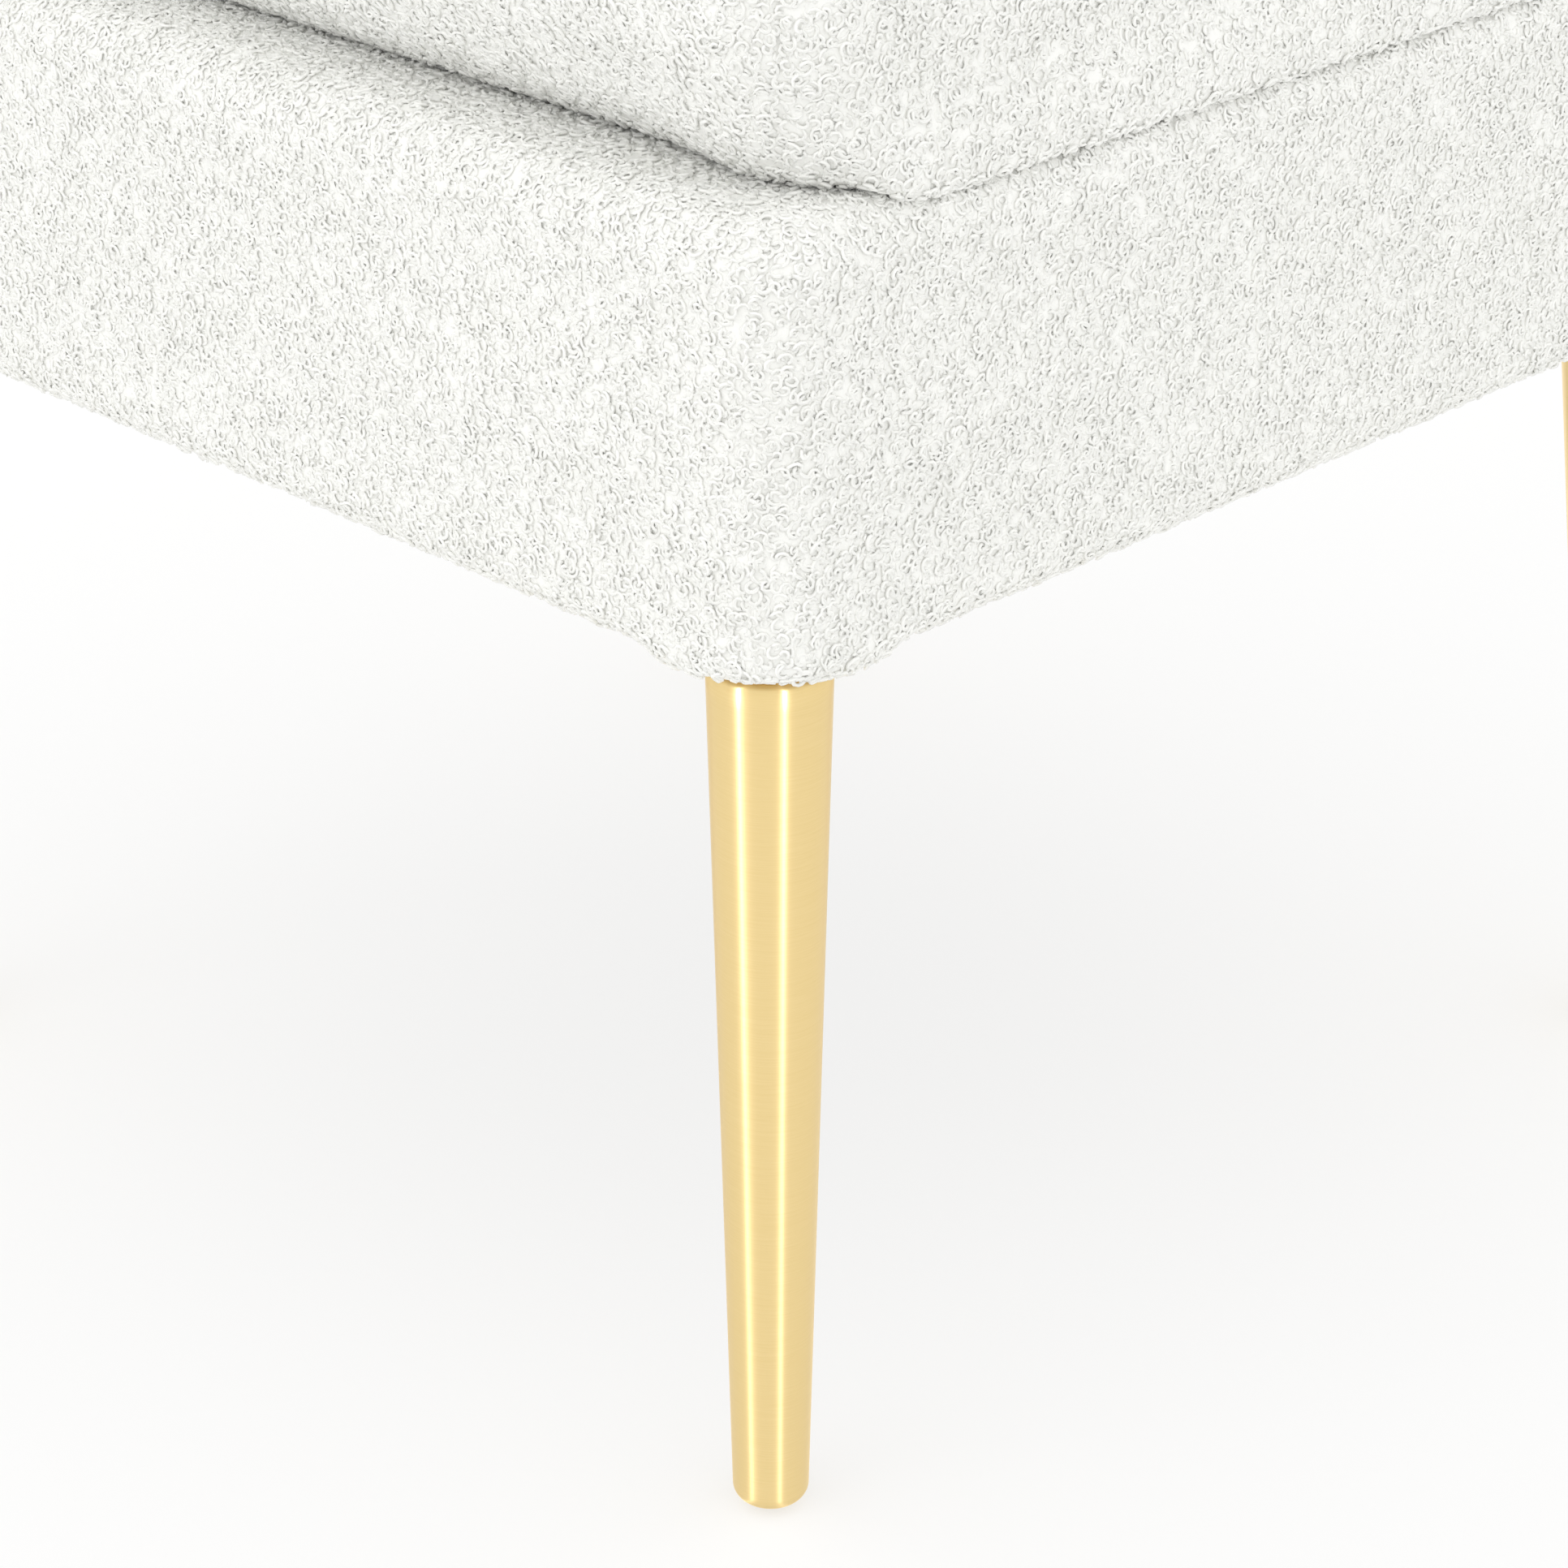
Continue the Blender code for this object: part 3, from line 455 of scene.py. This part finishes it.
def loop_mesh(name, places, normals, rng):
    """One C-shaped curl of yarn, a closed tube, at every place: (mesh, points, faces)."""
    count = len(places)
    pick = rng.normal(size=(count, 3))
    side = np.cross(normals, pick)
    side /= np.maximum(np.linalg.norm(side, axis=1, keepdims=True), 1e-9)
    tilt = np.radians(rng.uniform(-LOOP_TILT, LOOP_TILT, count))[:, None]
    across = np.cross(normals, side)
    forward = across * np.cos(tilt) + normals * np.sin(tilt)
    up = normals * np.cos(tilt) - across * np.sin(tilt)
    radius = rng.uniform(*LOOP_RADIUS, count)[:, None]
    yarn = rng.uniform(*YARN_RADIUS, count)[:, None]
    sweep = np.radians(rng.uniform(*LOOP_ARC, count))[:, None]
    angle = rng.uniform(0, 2 * math.pi, count)[:, None] + sweep * np.linspace(0, 1, LOOP_RINGS)
    wobble = 1 + LOOP_WOBBLE * np.sin(2 * angle + rng.uniform(0, 6.3, count)[:, None])
    cos, sin = np.cos(angle)[..., None], np.sin(angle)[..., None]
    outward = side[:, None] * cos + forward[:, None] * sin
    lift = LOOP_LIFT + rng.uniform(*LIFT_SPREAD, count)[:, None]
    centre = places[:, None] + normals[:, None] * lift[..., None] + outward * (radius * wobble)[..., None]
    points = []
    for turn in np.linspace(0, 2 * math.pi, YARN_SIDES, endpoint=False):
        spoke = outward * math.cos(turn) + up[:, None] * math.sin(turn)
        points.append(centre + spoke * yarn[..., None])
    points = np.stack(points, 2).reshape(-1, 3)  # loop, ring, side
    ring_quads = grid_quads(LOOP_RINGS, YARN_SIDES)
    cap = np.arange(YARN_SIDES)
    one = np.concatenate([ring_quads, [cap], [cap[::-1] + (LOOP_RINGS - 1) * YARN_SIDES]])
    starts = np.arange(count) * LOOP_RINGS * YARN_SIDES
    quads = (starts[:, None, None] + one[None]).reshape(-1, 4)
    return mesh_from_arrays(name, points, quads), points, quads


def bake_chart(mesh, points, quads, axes, low, high):
    """A flat chart for the loops of one side, so that they unwrap as the cloth under them does."""
    flat = np.clip((points[:, axes] - low) / (high - low), CHART_EDGE, 1 - CHART_EDGE)
    layer = mesh.uv_layers.new(name="OFBake")
    layer.data.foreach_set("uv", flat[quads.ravel()].astype(np.float32).ravel())


SIDES = {  # the axis that a side faces along, and which way
    "front": (1, -1),
    "rear": (1, 1),
    "left": (0, -1),
    "right": (0, 1),
    "top": (2, 1),
}


def facing_side(points, normals, side):
    """True where a spot belongs to a side; what faces down goes with the side that it is nearest."""
    axis, sign = SIDES[side]
    top = normals[:, 2] > TOP_FACING
    if side == "top":
        return top
    size = np.abs(points[:, :2])
    level = size[:, 0] >= size[:, 1] if axis == 0 else size[:, 1] > size[:, 0]
    return (points[:, axis] * sign > 0) & level & ~top


def add_loops(part, grid, body, chosen, finish, seed):
    """One piece of loops for each side of a cover."""
    low, high = np.array(CHART_LOW), np.array(CHART_HIGH)
    for index, side in enumerate(SIDES):
        rng = np.random.default_rng(seed + index)

        def on_side(points, normals, side=side):
            return chosen(points, normals) & facing_side(points, normals, side)

        places, normals = scatter(grid, on_side, LOOP_AREA, rng)
        name = f"{part}_loops_{side}"
        mesh, points, quads = loop_mesh(name, places, normals, rng)
        axes = [k for k in range(3) if k != SIDES[side][0]]
        bake_chart(mesh, points, quads, axes, low[axes], high[axes])
        show(name, mesh, finish, body)


# ---------------------------------------------------------------- materials
class Nodes:
    """A new node material with its Principled shader."""

    def __init__(self, name, colour, roughness, metallic=0.0):
        self.material = bpy.data.materials.new(name)
        self.material.use_nodes = True
        self.tree = self.material.node_tree
        self.shader = self.tree.nodes["Principled BSDF"]
        self.set("Base Color", (*colour, 1.0))
        self.set("Roughness", roughness)
        self.set("Metallic", metallic)
        self.coordinates = self.add("ShaderNodeTexCoord").outputs["Object"]

    def set(self, socket, value):
        self.shader.inputs[socket].default_value = value

    def add(self, kind, **inputs):
        node = self.tree.nodes.new(kind)
        for socket, value in inputs.items():
            node.inputs[socket.replace("_", " ")].default_value = value
        return node

    def link(self, output, target):
        self.tree.links.new(output, target)

    def stretched(self, scale):
        node = self.add("ShaderNodeMapping")
        node.inputs["Scale"].default_value = scale
        self.link(self.coordinates, node.inputs["Vector"])
        return node.outputs["Vector"]

    def noise(self, scale, detail=3.0, vector=None):
        node = self.add("ShaderNodeTexNoise", Scale=scale, Detail=detail)
        self.link(vector or self.coordinates, node.inputs["Vector"])
        return node.outputs["Fac"]

    def colours(self, value, stops):
        ramp = self.add("ShaderNodeValToRGB")
        first, last = ramp.color_ramp.elements
        first.position, last.position = stops[0][0], stops[-1][0]
        for place, _ in stops[1:-1]:
            ramp.color_ramp.elements.new(place)
        for element, (_, colour) in zip(ramp.color_ramp.elements, stops):
            element.color = (*colour, 1.0)
        self.link(value, ramp.inputs["Fac"])
        self.link(ramp.outputs["Color"], self.shader.inputs["Base Color"])

    def roughness(self, value, low, high):
        node = self.add("ShaderNodeMapRange")
        node.inputs["To Min"].default_value = low
        node.inputs["To Max"].default_value = high
        self.link(value, node.inputs["Value"])
        self.link(node.outputs["Result"], self.shader.inputs["Roughness"])

    def bump(self, value, distance, strength=1.0):
        node = self.add("ShaderNodeBump", Distance=distance, Strength=strength)
        self.link(value, node.inputs["Height"])
        self.link(node.outputs["Normal"], self.shader.inputs["Normal"])


def yarn_finish():
    n = Nodes("boucle_yarn", (0.88, 0.88, 0.85), 0.92)
    n.set("Sheen Weight", 0.15)
    n.set("Specular IOR Level", 0.2)
    n.colours(n.noise(60, 4), [(0.3, (0.92, 0.92, 0.887)), (0.7, (0.95, 0.95, 0.92))])
    n.bump(n.noise(2600, 2), 0.00012, 0.2)
    return n.material


def backing_finish():
    # coloured a little darker than the yarn: painted shade in the pits between the loops
    n = Nodes("boucle_backing_painted_shade", (0.8, 0.8, 0.77), 0.95)
    n.set("Specular IOR Level", 0.15)
    n.colours(n.noise(420, 4), [(0.3, (0.9, 0.9, 0.87)), (0.7, (0.94, 0.94, 0.91))])
    n.bump(n.noise(700, 3), 0.0004)
    return n.material


def gold_finish():
    n = Nodes("brushed_gold", (0.86, 0.67, 0.35), 0.39, 1.0)
    n.set("Anisotropic", 0.97)
    n.set("Anisotropic Rotation", 0.25)
    tangent = n.add("ShaderNodeTangent")
    tangent.direction_type = "RADIAL"
    tangent.axis = "Z"
    n.link(tangent.outputs["Tangent"], n.shader.inputs["Tangent"])
    lines = n.noise(90, 3, n.stretched((1.0, 1.0, 40.0)))
    n.colours(lines, [(0.3, (0.86, 0.66, 0.31)), (0.7, (0.89, 0.69, 0.34))])
    n.roughness(lines, 0.3, 0.36)
    return n.material


def plywood_finish():
    n = Nodes("birch_plywood", (0.62, 0.46, 0.29), 0.65)
    grain = n.noise(26, 6, n.stretched((1.0, 9.0, 24.0)))
    n.colours(grain, [(0.3, (0.5, 0.35, 0.2)), (0.5, (0.63, 0.47, 0.3)), (0.7, (0.72, 0.57, 0.39))])
    n.bump(grain, 0.0003, 0.6)
    return n.material


def lining_finish():
    n = Nodes("lining_cloth", (0.78, 0.77, 0.73), 0.9)
    n.set("Sheen Weight", 0.1)
    threads = n.noise(900, 2, n.stretched((1.0, 1.0, 0.25)))
    n.colours(threads, [(0.35, (0.73, 0.72, 0.68)), (0.65, (0.82, 0.81, 0.77))])
    n.bump(threads, 0.0003)
    return n.material


def dust_finish():
    n = Nodes("non_woven_cloth", (0.03, 0.03, 0.033), 0.9)
    n.set("Sheen Weight", 0.2)
    fibres = n.noise(1400, 5)
    n.colours(fibres, [(0.35, (0.018, 0.018, 0.02)), (0.65, (0.045, 0.045, 0.05))])
    n.bump(fibres, 0.0003)
    return n.material


def zinc_finish():
    n = Nodes("zinc_plate", (0.62, 0.62, 0.6), 0.35, 1.0)
    spangle = n.noise(240, 3)
    n.colours(spangle, [(0.3, (0.55, 0.55, 0.54)), (0.7, (0.68, 0.68, 0.66))])
    n.roughness(spangle, 0.28, 0.46)
    return n.material


def nylon_finish():
    n = Nodes("moulded_nylon", (0.55, 0.55, 0.54), 0.5)
    grain = n.noise(1800, 2)
    n.colours(grain, [(0.3, (0.5, 0.5, 0.49)), (0.7, (0.6, 0.6, 0.59))])
    n.bump(grain, 0.0001, 0.5)
    return n.material


def foam_finish():
    n = Nodes("cut_foam", (0.88, 0.82, 0.6), 0.95)
    cells = n.noise(900, 4)
    n.colours(cells, [(0.3, (0.8, 0.73, 0.5)), (0.7, (0.9, 0.85, 0.66))])
    n.bump(cells, 0.0005)
    return n.material


# ---------------------------------------------------------------- covers
def outward_flat(points, centre_y=0.0):
    """The level direction outward along the diagonal of the nearest corner."""
    x, y = points[..., 0], points[..., 1] - centre_y
    flat = np.stack([np.sign(x), np.sign(y), np.zeros_like(x)], -1)
    return flat / math.sqrt(2)


def fabric_mesh(name, grid):
    return mesh_from_arrays(name, grid.reshape(-1, 3), grid_quads(*grid.shape[:2])[:, ::-1])


def on_body(points, normals):
    """True where the box's cover has loops: not under it, in the opening, or under bumpers and hinges."""
    top = np.abs(normals[:, 2]) > RIM_FACING
    rim = np.abs(points[:, 2] - RIM_Z) < RIM_DEPTH
    bare = top & rim & (propped(points, PRESSED_FADE) > PRESSED)
    outside = np.abs(points[:, :2]).max(1) > COVER_MOUTH
    return (normals[:, 2] > BODY_UNDERSIDE) & outside & ~bare


def on_lid(points, normals):
    """True where the cushion has loops: not in the middle of its underside, or on bumpers and hinges."""
    bare = (normals[:, 2] < FOOT_FACING) & (propped(points, PRESSED_FADE) > PRESSED)
    x, y = np.abs(points[:, 0]), points[:, 1]
    margin = (x > FOOT_MARGIN_X) | (y < FOOT_MARGIN_FRONT_Y) | (y > FOOT_MARGIN_REAR_Y)
    return ((normals[:, 2] > LID_UNDERSIDE) | margin) & ~bare


def make_body(yarn, backing):
    """The box's padded cover with its loops."""
    grid = body_grid()
    coarse = body_grid(FORM_CELL)
    shrink = [END_SHARE, END_SHARE, 1.0]
    closed = np.concatenate([coarse[:1] * shrink, coarse, coarse[-1:] * shrink])
    before, moves = puffed("body_air", closed, BODY_PUFF)
    middle = (BASE_Z + RIM_Z) / 2
    weight = smoothstep(BODY_PUFF_HEIGHT - np.abs(grid[..., 2] - middle) / (middle - BASE_Z))
    grid = follow(grid, before, moves, weight)
    grid = corner_seam(grid, HALF, HALF, 0.0, outward_flat(grid))
    pads = [f"{side}_pad" for side in ("front", "rear", "left", "right")]
    mesh = fabric_mesh("body_fabric", grid)
    fabric = show("body_fabric", mesh, backing, "box", ["body_cover", *pads])
    add_loops("body", grid, "box", on_body, yarn, BODY_SEED)


def make_lid(yarn, backing):
    """The cushion's padded cover with its loops."""
    grid = lid_grid()
    before, moves = puffed("lid_air", lid_grid(FORM_CELL, closed=True), LID_PUFF)
    weight = smoothstep((grid[..., 2] - LID_LOW_Z - LID_PUFF_LOW) / LID_PUFF_FADE)
    grid = follow(grid, before, moves, weight)
    outward = outward_flat(grid, LID_MIDDLE_Y)
    grid = corner_seam(grid, LID_HALF_X, LID_HALF_Y, LID_MIDDLE_Y, outward)
    mesh = fabric_mesh("lid_fabric", grid)
    fabric = show("lid_fabric", mesh, backing, "lid", ["lid_cover", "lid_foam"])
    add_loops("lid", grid, "lid", on_lid, yarn, LID_SEED)


# ---------------------------------------------------------------- legs
def leg_outline():
    """(radius, height) from the middle of the leg's top, down its taper and round its tip."""
    length = LEG_TOP_Z - LEG_TIP_HEIGHT
    round_off, tip_height = LEG_FOOT_RADIUS - LEG_TIP_RADIUS, LEG_TIP_HEIGHT - GLIDE
    foot = [
        (LEG_TIP_RADIUS + round_off * math.cos(turn), LEG_TIP_HEIGHT - tip_height * math.sin(turn))
        for turn in np.radians(np.linspace(0, 90, 14))
    ]
    taper = LEG_FOOT_RADIUS - LEG_TOP_RADIUS
    shaft = [
        (LEG_TOP_RADIUS + taper * t, LEG_TOP_Z - LEG_ROLL - (length - LEG_ROLL) * t)
        for t in np.linspace(0, 1, 40)
    ]
    top = [(0.001, LEG_TOP_Z), (LEG_TOP_RADIUS - LEG_ROLL, LEG_TOP_Z)]
    return np.array(top + shaft + foot[1:] + [(0.0005, GLIDE)])


def glide_outline():
    """(radius, height) of a plastic glide with softened edges."""
    return np.array([
        (GLIDE_MIDDLE, GLIDE),
        (0.0038, GLIDE),
        (GLIDE_RADIUS, GLIDE - 0.0003),
        (GLIDE_RADIUS, 0.0002),
        (0.0039, 0.0),
        (GLIDE_MIDDLE, 0.0),
    ])


def turned(name, outline, sx, sy, sides):
    """A turned shape leaning outward on its corner's diagonal, its axis through the object's origin."""
    angles = np.linspace(0, 2 * math.pi, sides, endpoint=False)
    radius, z = outline[:, :1], outline[:, 1:]
    lean = math.tan(SPLAY) * (LEG_TOP_Z - z) / math.sqrt(2)
    x = radius * np.cos(angles) + sx * lean
    y = radius * np.sin(angles) + sy * lean
    grid = np.stack([x, y, np.broadcast_to(z, x.shape)], -1)
    quads = grid_quads(len(outline), sides)
    return mesh_from_arrays(name, grid.reshape(-1, 3), quads)


def make_legs(gold, nylon):
    for name, (sx, sy) in CORNERS.items():
        place = (sx * LEG_AXIS, sy * LEG_AXIS, 0.0)
        leg = turned("gold_leg_" + name, leg_outline(), sx, sy, LEG_SIDES)
        show("gold_leg_" + name, leg, gold, "box", ["leg_" + name], place)
        glide = turned("glide_" + name, glide_outline(), sx, sy, GLIDE_SIDES)
        show("glide_" + name, glide, nylon, "box", ["leg_glide_" + name], place)


# ---------------------------------------------------------------- linings
def wavy(grid, amount, seed):
    """Heights of slight slack waves in a cloth."""
    rng = np.random.default_rng(seed)
    height = np.zeros(grid.shape[:2])
    for _ in range(WAVE_COUNT):
        direction = rng.normal(size=3) * WAVE_NUMBER
        height += np.sin(grid @ direction + rng.uniform(0, 6.3))
    return height * amount / WAVE_COUNT


def lining_grid(half, low_z, high_z):
    """The compartment's cloth: down its walls, round a soft bend and over its floor."""
    floor_z = low_z + LINING_FLOOR
    outline = np.array([
        (half, high_z),
        (half, low_z + LINING_BEND),
        (half - LINING_BEND, floor_z),
        (0.0003, floor_z),
    ])
    rows = []
    for reach, z in even_steps(outline, LINING_STEP):
        corner = min(LINING_CORNER, reach * 0.5)
        flat = ring(reach, reach, corner, 0.0, int(LINING_STRAIGHT / LINING_STEP), 3)
        rows.append(np.concatenate([flat, np.full((len(flat), 1), z)], 1))
    grid = np.array(rows)
    inward = -surface_normals(grid)
    slack = np.abs(wavy(grid, LINING_WAVES, LINING_SEED))[..., None]
    grid += inward * slack * np.sign((inward * -grid).sum(-1, keepdims=True))
    return grid


def make_linings(cloth, dust):
    """The compartment's lining and the cloths under the lid and under the base."""
    low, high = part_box("storage_lining")
    half = high.x - LINING_INSET
    grid = lining_grid(half, low.z, high.z)
    mesh = mesh_from_arrays("compartment_lining", grid.reshape(-1, 3), grid_quads(*grid.shape[:2]))
    piece = show("compartment_lining", mesh, cloth, "box", ["storage_lining"])
    flat_cloth("lid_lining", "lid_under_cloth", "lid", cloth)
    flat_cloth("dust_cover", "underside_cloth", "box", dust, DUST_CORNER_CUT)


def flat_cloth(node, name, body, cloth, cut=0.0):
    """A stretched sheet where a flat CAD cloth is; cut is how much is taken off along its corners' sides."""
    low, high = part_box(node)
    along, back = np.linspace(low.x, high.x, CLOTH_COUNT), np.linspace(low.y, high.y, CLOTH_COUNT)
    x, y = np.meshgrid(along, back, indexing="ij")
    grid = np.stack([x, y, np.full_like(x, (low.z + high.z) / 2)], -1)
    grid[..., 2] += wavy(grid, CLOTH_WAVES, CLOTH_SEED)
    quads = grid_quads(CLOTH_COUNT, CLOTH_COUNT, wrap=False)
    if cut:
        middle = np.abs(grid.reshape(-1, 3)[quads].mean(1))
        quads = quads[middle[:, 0] + middle[:, 1] < 2 * high.x - cut + 1e-6]
    piece = show(name, mesh_from_arrays(name, grid.reshape(-1, 3), quads), cloth, body, [node])


def paint_nodes(frame, finishes):
    """Gives each CAD node whose name holds one of the listed words the finish listed for them."""
    rules = {
        "plywood": ("_panel", "board", "corner_block"),
        "nylon": ("rim_bumper", "glide"),
        "foam": ("foam", "_pad"),
        "zinc_steel": ("hinge", "stud", "insert"),
    }
    for name, node in frame["nodes"].items():
        for slot, words in rules.items():
            if any(word in name for word in words):
                node.data.materials.clear()
                node.data.materials.append(finishes[slot])


# ---------------------------------------------------------------- stage
def make_floor():
    turns = [(-1, -1), (1, -1), (1, 1), (-1, 1)]
    corners = np.array([(sx * FLOOR_HALF, sy * FLOOR_HALF, 0) for sx, sy in turns], float)
    mesh = mesh_from_arrays("floor", corners, np.array([[0, 1, 2, 3]]))
    floor = bpy.data.objects.new("floor", mesh)
    bpy.context.scene.collection.objects.link(floor)
    n = Nodes("floor_paper", (0.3, 0.3, 0.3), 0.95)
    n.set("Specular IOR Level", 0.0)
    n.set("Emission Color", (1.0, 1.0, 0.995, 1.0))
    n.set("Emission Strength", FLOOR_GLOW)
    mesh.materials.append(n.material)


def area_light(name, azimuth, elevation, distance, size, power):
    """A soft light aimed at the object; azimuth 0 is in front and 90 at its right."""
    data = bpy.data.lights.new(name, "AREA")
    data.shape = "RECTANGLE"
    data.size, data.size_y = size
    data.energy = power
    light = bpy.data.objects.new(name, data)
    a, e = math.radians(azimuth), math.radians(elevation)
    back = Vector((math.sin(a) * math.cos(e), -math.cos(a) * math.cos(e), math.sin(e)))
    light.location = back * distance + Vector((0, 0, AIM_HEIGHT))
    light.rotation_euler = back.to_track_quat("Z", "Y").to_euler()
    bpy.context.scene.collection.objects.link(light)
    return light


def make_light():
    world = bpy.data.worlds.new("studio")
    world.use_nodes = True
    sky = world.node_tree.nodes["Background"].inputs
    sky["Color"].default_value = (1.0, 1.0, 1.0, 1.0)
    sky["Strength"].default_value = SKY
    bpy.context.scene.world = world
    area_light("key", -8, 35, 3.0, (1.6, 1.6), 6)
    for name, (azimuth, width, power) in STRIPS.items():
        size = (width, STRIP_HEIGHT)
        strip = area_light("strip_" + name, azimuth, STRIP_ELEVATION, STRIP_DISTANCE, size, power)
        strip.visible_diffuse = False  # it draws a highlight on the metal only
    bpy.context.scene.view_settings.view_transform = "Standard"


def make_camera():
    data = bpy.data.cameras.new("camera")
    data.lens = CAMERA_LENS
    data.sensor_width = CAMERA_SENSOR
    camera = bpy.data.objects.new("camera", data)
    camera.location = CAMERA_PLACE
    camera.rotation_euler = Euler([math.radians(angle) for angle in CAMERA_TURN])
    bpy.context.scene.collection.objects.link(camera)
    bpy.context.scene.camera = camera


def main():
    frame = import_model()
    yarn, backing = yarn_finish(), backing_finish()
    finishes = {
        "plywood": plywood_finish(),
        "nylon": nylon_finish(),
        "foam": foam_finish(),
        "zinc_steel": zinc_finish(),
    }
    paint_nodes(frame, finishes)
    make_body(yarn, backing)
    make_lid(yarn, backing)
    make_legs(gold_finish(), finishes["nylon"])
    make_linings(lining_finish(), dust_finish())
    make_floor()
    make_light()
    make_camera()


main()
